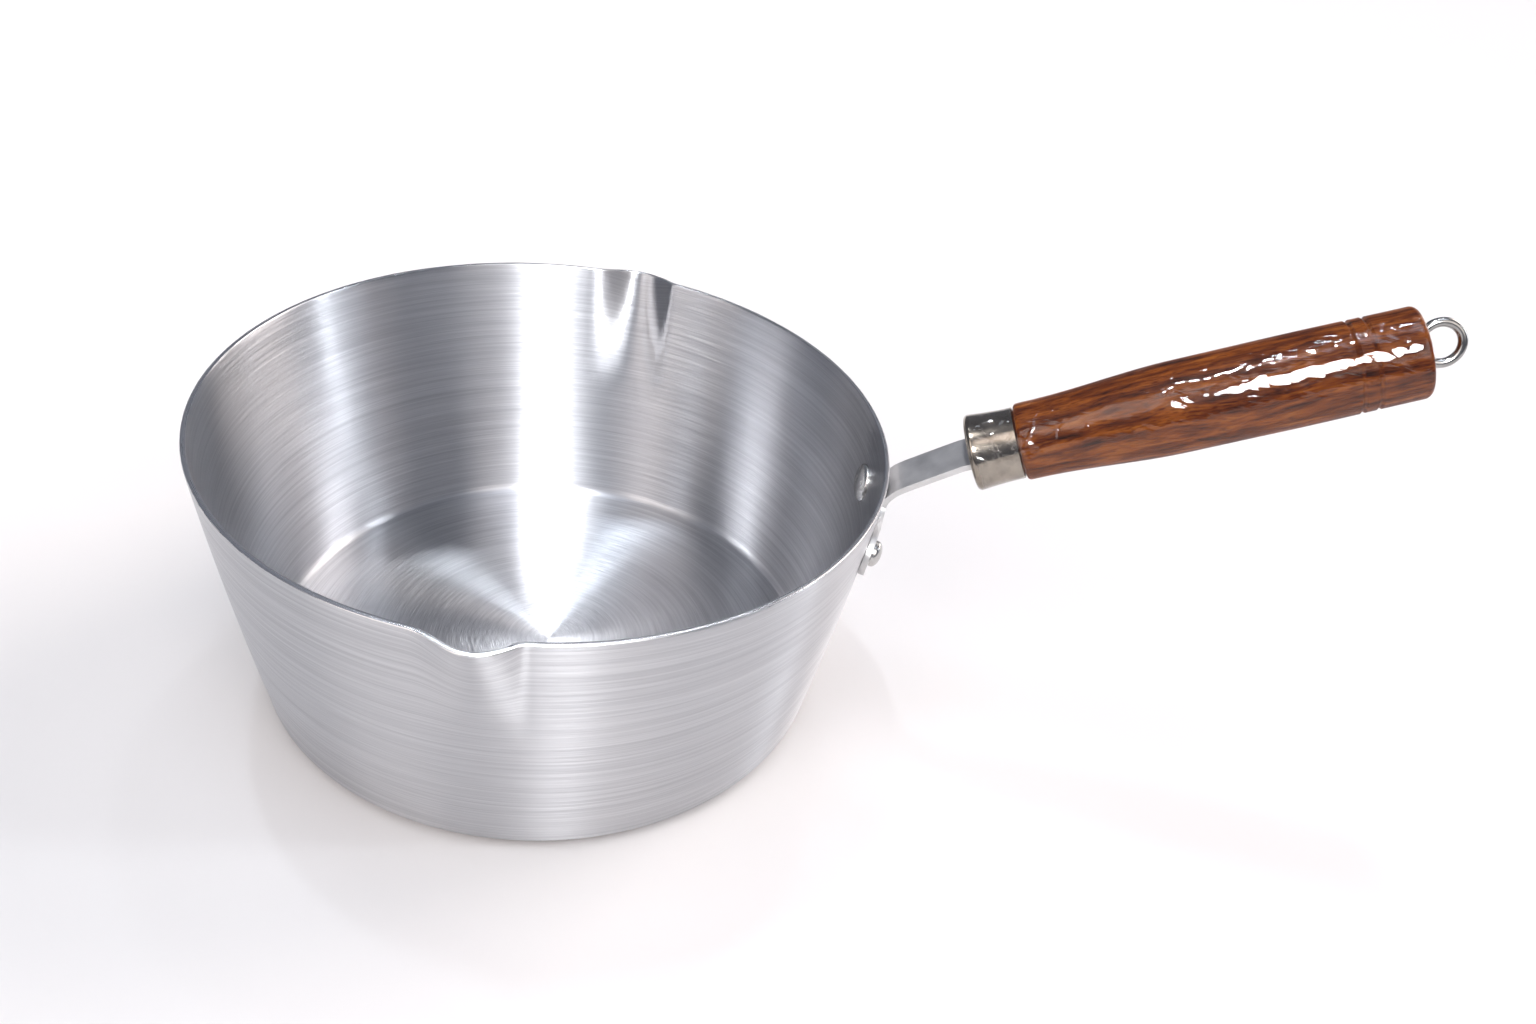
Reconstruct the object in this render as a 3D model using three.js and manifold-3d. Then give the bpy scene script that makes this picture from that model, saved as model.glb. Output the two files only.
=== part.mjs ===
// Milk pan with two pour spouts: a drawn aluminium bowl, a riveted steel strap and a wooden grip.
// Millimetres, +Z up. The origin is the middle of the underside, and the handle points along +X.

import * as THREE from "three";
import { mergeVertices } from "three/addons/utils/BufferGeometryUtils.js";
import Module from "manifold-3d";

// bowl
const rimRadius = 100;
const bowlHeight = 88.4;
const footRadius = 86.8;
const wallSwell = 0.8;
const wallThickness = 1.6;
const cornerRadius = 5;
const bowlSteps = 120;
const wallRows = 6;
const rimRound = 0.5;

// pour spouts
const spoutReach = 4.8;
const spoutDip = 0.9;
const spoutHalfAngle = THREE.MathUtils.degToRad(9);
const spoutAngles = [-89.5, 84.5].map(THREE.MathUtils.degToRad);
const spoutDepth = 38;

// handle line: it rises from the bowl at handleTilt, and gripStart is where the wood begins
const handleTilt = THREE.MathUtils.degToRad(25.2);
const gripStart = { x: 135.9, z: 103.5 };
const gap = 0.3;

// rivets
const rivetHeight = 69.5;
const rivetAngle = THREE.MathUtils.degToRad(10.5);
const rivetShankRadius = 2.3;
const innerHeadRadius = 6;
const innerHeadDome = 2.1;
const outerHeadRadius = 4;
const outerHeadDome = 2.7;
const innerHeadEdge = 0.3;
const outerHeadEdge = 0.5;
const rivetSteps = 20;
const holeDepth = 14;

// strap bracket
const strapThickness = 1.8;
const strapWidth = 14.6;
const tangWidth = 8;
const tangThickness = 1.5;
const tangLength = 46;
const earRadius = 7;
const footLow = 52;
const footHigh = 86;
const footRows = 4;
const footShoulder = 79.5;
const footArch = 4;

// ferrule
const ferruleLength = 14.8;
const ferruleFrontRadius = 11.5;
const ferruleBackRadius = 10.6;
const ferruleWall = 0.8;
const ferruleFrontRound = 1.6;
const ferruleFace = 1;

// grip
const gripLength = 113;
const gripStartRadius = 11.4;
const gripMiddleRadius = 13.4;
const gripEndRadius = 13;
const gripEndRound = 2;
const grooveDepth = 0.6;
const grooveWidth = 1.4;
const grooveFromEnd = [14.2, 18.7];

// hanging eye
const wireRadius = 1.35;
const eyeRadius = 5.7;
const eyeOut = 4.8;
const eyeRise = 1.5;
const eyeTurn = THREE.MathUtils.degToRad(-20);
const eyeShank = 24;

// facets around the handle's round pieces
const handleSteps = 32;
const turnedSteps = 48;

// shrink film
const filmThickness = 0.3;
const filmFold = 1.5;

// edges shorter than this are closed up after a cut
const shortestEdge = 0.02;

const wasm = await Module();
wasm.setup();

const part = new THREE.Group();

function addMesh(name, geometry, material) {
  const mesh = new THREE.Mesh(geometry, material);
  mesh.name = name;
  part.add(mesh);
}

// a closed geometry as a solid for cutting and joining
function toSolid(geometry) {
  const bare = geometry.clone();
  bare.deleteAttribute("normal");
  bare.deleteAttribute("uv");
  const merged = mergeVertices(bare, 1e-4);
  const vertProperties = new Float32Array(merged.attributes.position.array);
  const triVerts = new Uint32Array(merged.index.array);
  return new wasm.Manifold(new wasm.Mesh({ numProp: 3, vertProperties, triVerts }));
}

function toGeometry(solid) {
  const mesh = solid.simplify(shortestEdge).getMesh();
  const geometry = new THREE.BufferGeometry();
  geometry.setAttribute("position", new THREE.BufferAttribute(mesh.vertProperties, 3));
  geometry.setIndex(new THREE.BufferAttribute(mesh.triVerts, 1));
  geometry.computeVertexNormals();
  return geometry;
}

// a lathe about Z from [radius, height] points
function latheAboutZ(points, steps) {
  const profile = points.map(([radius, height]) => new THREE.Vector2(radius, height));
  const geometry = new THREE.LatheGeometry(profile, steps);
  geometry.rotateX(Math.PI / 2);
  return geometry;
}

// points of an arc, in [radius, height] order
function arcPoints(centre, radius, startAngle, endAngle, steps) {
  return Array.from({ length: steps + 1 }, (_, i) => {
    const angle = startAngle + ((endAngle - startAngle) * i) / steps;
    return [centre[0] + radius * Math.cos(angle), centre[1] + radius * Math.sin(angle)];
  });
}

// outer radius of the plain bowl wall at a height
function wallRadius(height) {
  const t = height / bowlHeight;
  return footRadius + (rimRadius - footRadius) * t + 4 * wallSwell * t * (1 - t);
}

// angle of the wall away from upright at a height
function wallLean(height) {
  return Math.atan(wallRadius(height + 0.5) - wallRadius(height - 0.5));
}

// how far a spout stands out of the wall, 0 away from it and 1 at the middle of its lip
function spoutShare(angle, height) {
  const offsets = spoutAngles.map((spout) => Math.abs(angle - spout));
  const fromSpout = Math.min(...offsets) / spoutHalfAngle;
  const down = (bowlHeight - height) / spoutDepth;
  if (fromSpout >= 1 || down >= 1) return 0;
  const across = 0.5 + 0.5 * Math.cos(Math.PI * fromSpout ** 1.3);
  return across * (1 - down) ** 1.5;
}

function makeBowl() {
  const lowest = cornerRadius * 1.3;
  const highest = bowlHeight - rimRound;
  const heights = Array.from({ length: wallRows + 1 }, (_, i) => {
    return lowest + ((highest - lowest) * i) / wallRows;
  });
  const outerWall = heights.map((height) => [wallRadius(height), height]);
  const innerWall = heights.map((height) => [wallRadius(height) - wallThickness, height]).reverse();
  const lean = wallLean(cornerRadius);
  const cornerCentre = [wallRadius(cornerRadius) - cornerRadius, cornerRadius];
  const outerCorner = arcPoints(cornerCentre, cornerRadius, -Math.PI / 2, -lean, 3);
  const innerCorner = arcPoints(cornerCentre, cornerRadius - wallThickness, -lean, -Math.PI / 2, 3);
  const lip = [
    [rimRadius - rimRound, bowlHeight],
    [rimRadius - wallThickness + rimRound, bowlHeight],
  ];
  const outside = [[0, 0], ...outerCorner, ...outerWall];
  const inside = [...innerWall, ...innerCorner, [0, wallThickness]];
  const profile = [...outside, ...lip, ...inside];
  const geometry = latheAboutZ(profile, bowlSteps);

  const position = geometry.attributes.position;
  for (let i = 0; i < position.count; i += 1) {
    const x = position.getX(i);
    const y = position.getY(i);
    const z = position.getZ(i);
    const radius = Math.hypot(x, y);
    const share = spoutShare(Math.atan2(y, x), z);
    if (share > 0) {
      const scale = 1 + (spoutReach * share) / radius;
      position.setXYZ(i, x * scale, y * scale, z - spoutDip * share);
    }
  }
  return toSolid(geometry);
}

// places a shape made about +Z so that +Z points out of the wall at a rivet
function toRivet(geometry, side) {
  geometry.rotateY(Math.PI / 2);
  geometry.rotateY(wallLean(rivetHeight));
  geometry.translate(wallRadius(rivetHeight), 0, rivetHeight);
  geometry.rotateZ(side * rivetAngle);
  return geometry;
}

function makeRivetHole(side) {
  const radius = rivetShankRadius + gap;
  const hole = new THREE.CylinderGeometry(radius, radius, holeDepth, rivetSteps);
  hole.rotateX(Math.PI / 2);
  return toSolid(toRivet(hole, side));
}

// heights are measured from the outer face of the wall: the shank runs through the wall and the ear
function makeRivet(side) {
  const inside = -wallThickness - gap;
  const outside = strapThickness + 2 * gap;
  const profile = [[0, inside - innerHeadDome]];
  for (let i = 1; i <= 5; i += 1) {
    const t = (i / 5) * (Math.PI / 2);
    const dome = innerHeadEdge + (innerHeadDome - innerHeadEdge) * Math.cos(t);
    profile.push([innerHeadRadius * Math.sin(t), inside - dome]);
  }
  profile.push([innerHeadRadius, inside], [rivetShankRadius, inside]);
  profile.push([rivetShankRadius, outside], [outerHeadRadius, outside]);
  for (let i = 0; i <= 4; i += 1) {
    const t = (i / 5) * (Math.PI / 2);
    const dome = outerHeadEdge + (outerHeadDome - outerHeadEdge) * Math.sin(t);
    profile.push([outerHeadRadius * Math.cos(t), outside + dome]);
  }
  profile.push([0, outside + outerHeadDome]);
  return toRivet(latheAboutZ(profile, rivetSteps), side);
}

// point on the handle line, at a distance along it from the start of the wood
function onHandle(along, above = 0) {
  return new THREE.Vector2(
    gripStart.x + along * Math.cos(handleTilt) - above * Math.sin(handleTilt),
    gripStart.z + along * Math.sin(handleTilt) + above * Math.cos(handleTilt),
  );
}

// turns a shape made about +Z so that it lies along the handle line, from the start of the wood
function toHandle(geometry) {
  geometry.rotateY(Math.PI / 2 - handleTilt);
  geometry.translate(gripStart.x, 0, gripStart.z);
  return geometry;
}

// a sheet along a path of x-z points, bent as a strip of even thickness
function bentStrip(path, thickness, width) {
  const normals = path.map((point, i) => {
    const before = path[Math.max(i - 1, 0)];
    const after = path[Math.min(i + 1, path.length - 1)];
    const along = after.clone().sub(before).normalize();
    return new THREE.Vector2(-along.y, along.x);
  });
  const upper = path.map((point, i) => point.clone().addScaledVector(normals[i], thickness / 2));
  const lower = path.map((point, i) => point.clone().addScaledVector(normals[i], -thickness / 2));
  const outline = new THREE.Shape([...lower, ...upper.reverse()]);
  const geometry = new THREE.ExtrudeGeometry(outline, { depth: width, bevelEnabled: false });
  geometry.rotateX(Math.PI / 2);
  geometry.translate(0, width / 2, 0);
  return toSolid(geometry);
}

// the strap from the foot on the wall up to the ferrule mouth, then the tang inside the grip
function strapPath() {
  const offWall = gap + strapThickness / 2;
  return [
    new THREE.Vector2(wallRadius(74) + offWall + 0.2, 74),
    new THREE.Vector2(wallRadius(79) + offWall + 0.2, 79),
    new THREE.Vector2(wallRadius(81.5) + offWall + 0.7, 81.5),
    new THREE.Vector2(102.6, 83.4),
    new THREE.Vector2(105.6, 86.2),
    new THREE.Vector2(113.5, 91.6),
    new THREE.Vector2(120.6, 96.3),
    onHandle(-ferruleLength + 5),
    onHandle(0),
  ];
}

// the sheet of the foot follows the wall, and its outline is two ears beside the strap
function makeFoot() {
  const rise = (footHigh - footLow) / footRows;
  const rows = Array.from({ length: footRows + 1 }, (_, i) => footLow + rise * i);
  const outer = rows.map((height) => [wallRadius(height) + gap + strapThickness, height]);
  const inner = rows.map((height) => [wallRadius(height) + gap, height]).reverse();
  const shell = toSolid(latheAboutZ([...outer, ...inner, outer[0]], bowlSteps));

  const earOut = wallRadius(rivetHeight) * Math.sin(rivetAngle);
  const half = strapWidth / 2;
  const earTop = rivetHeight + earRadius;
  const earFoot = rivetHeight - earRadius;
  const outline = new THREE.Shape();
  outline.moveTo(-half, footShoulder);
  outline.quadraticCurveTo(-half, earTop, -earOut, earTop);
  outline.absarc(-earOut, rivetHeight, earRadius, Math.PI / 2, (3 * Math.PI) / 2, false);
  outline.quadraticCurveTo(0, earFoot + footArch, earOut, earFoot);
  outline.absarc(earOut, rivetHeight, earRadius, -Math.PI / 2, Math.PI / 2, false);
  outline.quadraticCurveTo(half, earTop, half, footShoulder);
  outline.closePath();
  const depth = 2 * (rimRadius - footRadius);
  const block = new THREE.ExtrudeGeometry(outline, { depth, bevelEnabled: false, curveSegments: 10 });
  block.rotateX(Math.PI / 2);
  block.rotateZ(Math.PI / 2);
  block.translate(footRadius - 5, 0, 0);
  return shell.intersect(toSolid(block));
}

function makeTang(width, length, thickness) {
  const geometry = new THREE.BoxGeometry(thickness, width, length);
  geometry.translate(0, 0, length / 2 - 1);
  return toSolid(toHandle(geometry));
}

function makeBracket() {
  const strap = bentStrip(strapPath(), strapThickness, strapWidth);
  const bracket = makeFoot().add(strap).add(makeTang(tangWidth, tangLength, tangThickness));
  return bracket.subtract(makeRivetHole(1)).subtract(makeRivetHole(-1));
}

// room for the strap and the tang in the ferrule and the wood
function makeTangRoom() {
  const path = strapPath().slice(-4);
  const strap = bentStrip(path, strapThickness + 2 * gap, strapWidth + 2 * gap);
  return strap.add(makeTang(tangWidth + 2 * gap, tangLength + gap, tangThickness + 2 * gap));
}

// radius of the ferrule's outside, a light flare towards its front
function ferruleRadius(along) {
  const t = -along / ferruleLength;
  return ferruleBackRadius + (ferruleFrontRadius - ferruleBackRadius) * t * t;
}

function makeFerrule() {
  const round = ferruleFrontRound;
  const back = -gap;
  const outside = [back, -5, -9, -ferruleLength + 3, -ferruleLength + round];
  const frontArc = arcPoints(
    [ferruleFrontRadius - round - 0.15, -ferruleLength + round],
    round,
    0,
    -Math.PI / 2,
    4,
  );
  const bore = ferruleBackRadius - ferruleWall;
  const profile = [
    [0, -ferruleLength + ferruleFace],
    [bore, -ferruleLength + ferruleFace],
    [bore, back],
    ...outside.map((along) => [ferruleRadius(along), along]),
    ...frontArc.slice(1),
    [0, -ferruleLength],
  ].reverse();
  return toSolid(toHandle(latheAboutZ(profile, turnedSteps)));
}

// radius of the turned wood at a distance from its shoulder
function gripRadius(along) {
  const swell = THREE.MathUtils.smoothstep(along, 5, 46);
  const taper = THREE.MathUtils.smoothstep(along, 76, gripLength);
  const middle = gripStartRadius + (gripMiddleRadius - gripStartRadius) * swell;
  return middle - (gripMiddleRadius - gripEndRadius) * taper;
}

function makeGrip() {
  const bore = ferruleBackRadius - ferruleWall;
  const spigot = bore - gap;
  const front = -ferruleLength + ferruleFace + gap;
  const outside = [[gripRadius(0) - 1.4, 0], [gripRadius(1) - 0.4, 0.5], [gripRadius(2), 1.8]];
  [8, 14, 20, 27, 34, 50, 66, 80, 90].forEach((along) => outside.push([gripRadius(along), along]));
  [...grooveFromEnd].reverse().forEach((fromEnd) => {
    const along = gripLength - fromEnd;
    outside.push([gripRadius(along), along - grooveWidth / 2]);
    outside.push([gripRadius(along) - grooveDepth, along]);
    outside.push([gripRadius(along), along + grooveWidth / 2]);
  });
  const corner = [gripEndRadius - gripEndRound, gripLength - gripEndRound];
  outside.push(...arcPoints(corner, gripEndRound, 0, Math.PI / 2, 4));
  const inFerrule = [[0, front], [spigot - 1, front], [spigot, front + 1], [spigot, 0]];
  const profile = [...inFerrule, ...outside, [0, gripLength]];
  return toSolid(toHandle(latheAboutZ(profile, turnedSteps)));
}

// wire of the screw eye: the shank in the wood, then nearly a full turn of the ring
function makeEye(radius) {
  const points = [
    new THREE.Vector3(0, 0, gripLength - eyeShank),
    new THREE.Vector3(0, 0, gripLength - eyeShank / 2),
    new THREE.Vector3(0, 0, gripLength + eyeOut - eyeRadius - 4.5),
  ];
  const turns = 22;
  for (let i = 0; i <= turns; i += 1) {
    const angle = THREE.MathUtils.degToRad(205 + (302 * i) / turns);
    const x = eyeRadius * Math.sin(angle);
    points.push(new THREE.Vector3(x, 0, gripLength + eyeOut + eyeRadius * Math.cos(angle)));
  }
  const path = new THREE.CatmullRomCurve3(points, false, "centripetal");
  const wire = new THREE.Shape();
  wire.absarc(0, 0, radius, 0, 2 * Math.PI, false);
  const geometry = new THREE.ExtrudeGeometry(wire, { steps: 48, curveSegments: 5, extrudePath: path });
  geometry.rotateZ(eyeTurn);
  geometry.translate(-eyeRise, 0, 0);
  return toSolid(toHandle(geometry));
}

// one side of the film, at a distance from the ferrule and the wood, folded a little over the grip's end
function filmSide(away) {
  const ferruleStations = [-ferruleLength + 2, -10, -5, -1];
  const gripStations = [2, 8, 14, 20, 27, 34, 50, 66, 80, 95, gripLength - 6, gripLength - gripEndRound];
  const corner = [gripEndRadius - gripEndRound, gripLength - gripEndRound];
  return [
    ...ferruleStations.map((along) => [ferruleRadius(along) + away, along]),
    ...gripStations.map((along) => [gripRadius(along) + away, along]),
    ...arcPoints(corner, gripEndRound + away, 0, Math.PI / 2, 4).slice(1),
    [gripEndRadius - gripEndRound - filmFold, gripLength + away],
  ];
}

function makeFilm() {
  const inner = filmSide(gap);
  const outer = filmSide(gap + filmThickness);
  return toHandle(latheAboutZ([...outer, ...inner.reverse(), outer[0]], handleSteps));
}

const aluminium = new THREE.MeshStandardMaterial({ color: 0xc4c6ca, roughness: 0.34, metalness: 1 });
const steel = new THREE.MeshStandardMaterial({ color: 0xb4b6b8, roughness: 0.38, metalness: 1 });
const nickel = new THREE.MeshStandardMaterial({ color: 0xb9b2a6, roughness: 0.2, metalness: 1 });
const wood = new THREE.MeshStandardMaterial({ color: 0x7b4526, roughness: 0.45, metalness: 0 });
const film = new THREE.MeshStandardMaterial({ color: 0xe8e4e0, roughness: 0.1, metalness: 0 });

const holes = makeRivetHole(1).add(makeRivetHole(-1));
const tangRoom = makeTangRoom();
addMesh("pan_body", toGeometry(makeBowl().subtract(holes)), aluminium);
addMesh("handle_bracket", toGeometry(makeBracket()), steel);
addMesh("rivet_left", makeRivet(-1), aluminium);
addMesh("rivet_right", makeRivet(1), aluminium);
addMesh("ferrule", toGeometry(makeFerrule().subtract(tangRoom)), nickel);
addMesh("grip", toGeometry(makeGrip().subtract(tangRoom).subtract(makeEye(wireRadius + gap))), wood);
addMesh("hanging_eye", toGeometry(makeEye(wireRadius)), steel);
addMesh("shrink_film", makeFilm(), film);

export default part;
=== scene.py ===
# Milk pan for melting wax: a spun aluminium bowl with two pour spouts, a riveted steel strap,
# a nickelled ferrule, a stained wooden grip in clear shrink film and a wire hanging eye.
# Metres. The bowl's axis is Z and the handle lies along +X.
import math

import bpy
from mathutils import Matrix, Vector


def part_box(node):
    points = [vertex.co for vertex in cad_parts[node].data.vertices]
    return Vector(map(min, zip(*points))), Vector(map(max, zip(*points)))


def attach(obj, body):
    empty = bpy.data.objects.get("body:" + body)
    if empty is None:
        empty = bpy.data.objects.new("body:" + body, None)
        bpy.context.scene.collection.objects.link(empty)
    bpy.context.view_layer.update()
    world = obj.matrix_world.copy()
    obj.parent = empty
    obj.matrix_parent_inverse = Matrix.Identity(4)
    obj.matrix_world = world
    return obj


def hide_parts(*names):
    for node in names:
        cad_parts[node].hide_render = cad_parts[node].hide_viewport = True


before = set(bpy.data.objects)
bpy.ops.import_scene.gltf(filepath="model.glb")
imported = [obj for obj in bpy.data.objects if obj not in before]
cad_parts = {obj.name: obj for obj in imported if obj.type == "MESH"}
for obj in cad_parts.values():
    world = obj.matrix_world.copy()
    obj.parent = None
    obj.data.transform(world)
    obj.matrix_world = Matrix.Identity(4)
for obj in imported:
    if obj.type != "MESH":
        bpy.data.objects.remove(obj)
bpy.context.view_layer.update()
print("frame loaded,", len(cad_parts), "nodes")

mm = 0.001
seam = 0.002 * mm  # points closer than this are one point
noiseLow, noiseHigh = 0.3, 0.7  # a noise texture seldom goes past these


def makeActive(shape):
    bpy.ops.object.select_all(action="DESELECT")
    shape.select_set(True)
    bpy.context.view_layer.objects.active = shape


def addModifier(shape, kind, **settings):
    makeActive(shape)
    modifier = shape.modifiers.new(kind.title(), kind)
    for key, value in settings.items():
        setattr(modifier, key, value)
    bpy.ops.object.modifier_apply(modifier=modifier.name)


def startDrawing(name, spot):
    # a single vertex in edit mode, ready to be extruded
    bpy.ops.object.select_all(action="DESELECT")
    bpy.ops.mesh.primitive_plane_add(size=mm, location=(0, 0, 0))
    shape = bpy.context.object
    shape.name = name
    shape.data.name = name
    bpy.ops.object.mode_set(mode="EDIT")
    bpy.ops.mesh.select_mode(type="VERT")
    bpy.ops.mesh.select_all(action="SELECT")
    bpy.ops.mesh.merge(type="CENTER")
    bpy.ops.transform.translate(value=spot)
    return shape


def extrudeAlong(spots):
    # what is selected is extruded from each spot to the next
    for here, there in zip(spots, spots[1:]):
        step = Vector(there) - Vector(here)
        bpy.ops.mesh.extrude_region_move(TRANSFORM_OT_translate={"value": step})


def turnShape(name, outline, steps):
    # an outline of (radius, height) points is drawn and spun once round Z
    spots = [Vector((radius, 0, height)) for radius, height in outline]
    shape = startDrawing(name, spots[0])
    extrudeAlong(spots)
    bpy.ops.mesh.select_all(action="SELECT")
    bpy.ops.mesh.spin(steps=steps, angle=2 * math.pi, center=(0, 0, 0), axis=(0, 0, 1))
    bpy.ops.mesh.select_all(action="SELECT")
    bpy.ops.mesh.remove_doubles(threshold=seam)
    bpy.ops.mesh.normals_make_consistent(inside=False)
    bpy.ops.object.mode_set(mode="OBJECT")
    return shape


def pickEdges(shape, test):
    # leaves the shape in edit mode with the edges that pass the test selected
    bpy.ops.object.mode_set(mode="EDIT")
    bpy.ops.mesh.select_mode(type="EDGE")
    bpy.ops.mesh.select_all(action="DESELECT")
    bpy.ops.object.mode_set(mode="OBJECT")
    for edge in shape.data.edges:
        edge.select = test(edge)
    bpy.ops.object.mode_set(mode="EDIT")


def arc(centre, radius, start, end, steps):
    turns = [math.radians(start + (end - start) * i / steps) for i in range(steps + 1)]
    return [(centre[0] + radius * math.cos(t), centre[1] + radius * math.sin(t)) for t in turns]


def smoothSteps(value, low, high):
    share = min(max((value - low) / (high - low), 0), 1)
    return share * share * (3 - 2 * share)


def settle(shape, place, angle=30):
    # moves a finished shape to its place, with its place in its mesh
    makeActive(shape)
    shape.matrix_world = place
    bpy.ops.object.transform_apply(location=True, rotation=True, scale=True)
    bpy.ops.object.shade_smooth_by_angle(angle=math.radians(angle))


def srgb(code):
    # a hex colour as the linear values that a shader takes
    parts = [int(code[i:i + 2], 16) / 255 for i in (1, 3, 5)]
    return [p / 12.92 if p <= 0.04045 else ((p + 0.055) / 1.055) ** 2.4 for p in parts] + [1]


def addNode(tree, kind, inputs=None, **settings):
    # inputs maps a socket's name or number to a value, or to the output that feeds it
    node = tree.nodes.new(kind)
    for key, value in settings.items():
        setattr(node, key, value)
    for key, value in (inputs or {}).items():
        if isinstance(value, bpy.types.NodeSocket):
            tree.links.new(value, node.inputs[key])
        else:
            node.inputs[key].default_value = value
    return node


def startFinish(name, **sockets):
    # a new material, its tree and its shader with the given sockets set
    finish = bpy.data.materials.new(name)
    finish.use_nodes = True
    tree = finish.node_tree
    shader = next(node for node in tree.nodes if node.type == "BSDF_PRINCIPLED")
    for key, value in sockets.items():
        shader.inputs[key.replace("_", " ")].default_value = value
    return finish, tree, shader


def setRamp(node, *stops):
    elements = node.color_ramp.elements
    while len(elements) < len(stops):
        elements.new(0.5)
    for element, (place, colour) in zip(elements, stops):
        element.position = place
        element.color = colour


def feedShader(tree, shader, sources):
    for key, source in sources.items():
        tree.links.new(source, shader.inputs[key])


def giveFinish(shape, *finishes):
    shape.data.materials.clear()
    for finish in finishes:
        shape.data.materials.append(finish)


# Spun aluminium, brushed with abrasive cloth while it turns: every scratch is part of a ring round
# the bowl's axis, so lights pull out into streaks across the rings. Real scratches are about
# 0.1 mm apart, so the ones that are drawn are coarser, one pitch apart, to show at all.
brushing = {
    "scratchRun": 2.6,  # how often a scratch fades and starts again on its way round
    "hairRun": 6,
    "hair": 0.07 * mm,
    "band": 4,  # scratches to one broad band
}


def ringBrushed(name, colours, roughness, anisotropy, pitch, scratchDepth, spread):
    finish, tree, shader = startFinish(name, Metallic=1, Anisotropic=anisotropy,
                                       Anisotropic_Rotation=0.25)
    place = addNode(tree, "ShaderNodeTexCoord").outputs["Object"]
    flat = addNode(tree, "ShaderNodeVectorMath", {0: place, 1: (1, 1, 0)}, operation="MULTIPLY")
    radius = addNode(tree, "ShaderNodeVectorMath", {0: flat.outputs[0]}, operation="LENGTH")
    around = addNode(tree, "ShaderNodeVectorMath", {0: flat.outputs[0]}, operation="NORMALIZE")
    height = addNode(tree, "ShaderNodeSeparateXYZ", {0: place})
    across = addNode(tree, "ShaderNodeMath", {0: radius.outputs["Value"], 1: height.outputs["Z"]},
                     operation="ADD")
    fineStep = addNode(tree, "ShaderNodeMath", {0: across.outputs[0], 1: 1 / pitch},
                       operation="MULTIPLY")
    fineTurn = addNode(tree, "ShaderNodeVectorMath", {0: around.outputs[0],
                                                      "Scale": brushing["scratchRun"]},
                       operation="SCALE")
    fine = addNode(tree, "ShaderNodeTexNoise", noise_dimensions="4D",
                   inputs={"Vector": fineTurn.outputs[0], "W": fineStep.outputs[0],
                           "Scale": 1, "Detail": 3, "Roughness": 0.65})
    broadStep = addNode(tree, "ShaderNodeMath", {0: across.outputs[0],
                                                 1: 1 / (brushing["band"] * pitch)},
                        operation="MULTIPLY")
    broad = addNode(tree, "ShaderNodeTexNoise", noise_dimensions="4D",
                    inputs={"Vector": around.outputs[0], "W": broadStep.outputs[0],
                            "Scale": 1, "Detail": 2, "Roughness": 0.5})
    both = addNode(tree, "ShaderNodeMath", {0: fine.outputs[0], 1: broad.outputs[0]},
                   operation="ADD")
    mean = addNode(tree, "ShaderNodeMath", {0: both.outputs[0], 1: 0.5}, operation="MULTIPLY")
    tint = addNode(tree, "ShaderNodeValToRGB", {0: mean.outputs[0]})
    setRamp(tint, (0.38, srgb(colours[0])), (0.62, srgb(colours[1])))
    rough = addNode(tree, "ShaderNodeMapRange", {0: mean.outputs[0], 1: noiseLow, 2: noiseHigh,
                                                 3: roughness[0], 4: roughness[1]})
    bump = addNode(tree, "ShaderNodeBump", {"Strength": 0.5, "Distance": scratchDepth,
                                            "Height": fine.outputs[0]})
    along = addNode(tree, "ShaderNodeVectorMath", {0: (0, 0, 1), 1: around.outputs[0]},
                    operation="CROSS_PRODUCT")
    # scratches too fine to see one by one tip the surface across their length
    hairStep = addNode(tree, "ShaderNodeMath", {0: across.outputs[0], 1: 1 / brushing["hair"]},
                       operation="MULTIPLY")
    hairTurn = addNode(tree, "ShaderNodeVectorMath", {0: around.outputs[0],
                                                      "Scale": brushing["hairRun"]},
                       operation="SCALE")
    hairs = addNode(tree, "ShaderNodeTexNoise", noise_dimensions="4D",
                    inputs={"Vector": hairTurn.outputs[0], "W": hairStep.outputs[0],
                            "Scale": 1, "Detail": 1, "Roughness": 0.5})
    tip = addNode(tree, "ShaderNodeMapRange", {0: hairs.outputs[0], 1: 0, 2: 1,
                                               3: -spread, 4: spread})
    side = addNode(tree, "ShaderNodeVectorMath", {0: bump.outputs[0], 1: along.outputs[0]},
                   operation="CROSS_PRODUCT")
    tipped = addNode(tree, "ShaderNodeVectorMath", {0: side.outputs[0], "Scale": tip.outputs[0]},
                     operation="SCALE")
    facing = addNode(tree, "ShaderNodeVectorMath", {0: bump.outputs[0], 1: tipped.outputs[0]},
                     operation="ADD")
    facing = addNode(tree, "ShaderNodeVectorMath", {0: facing.outputs[0]}, operation="NORMALIZE")
    feedShader(tree, shader, {"Base Color": tint.outputs[0], "Roughness": rough.outputs[0],
                              "Normal": facing.outputs[0], "Tangent": along.outputs[0]})
    return finish


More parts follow.
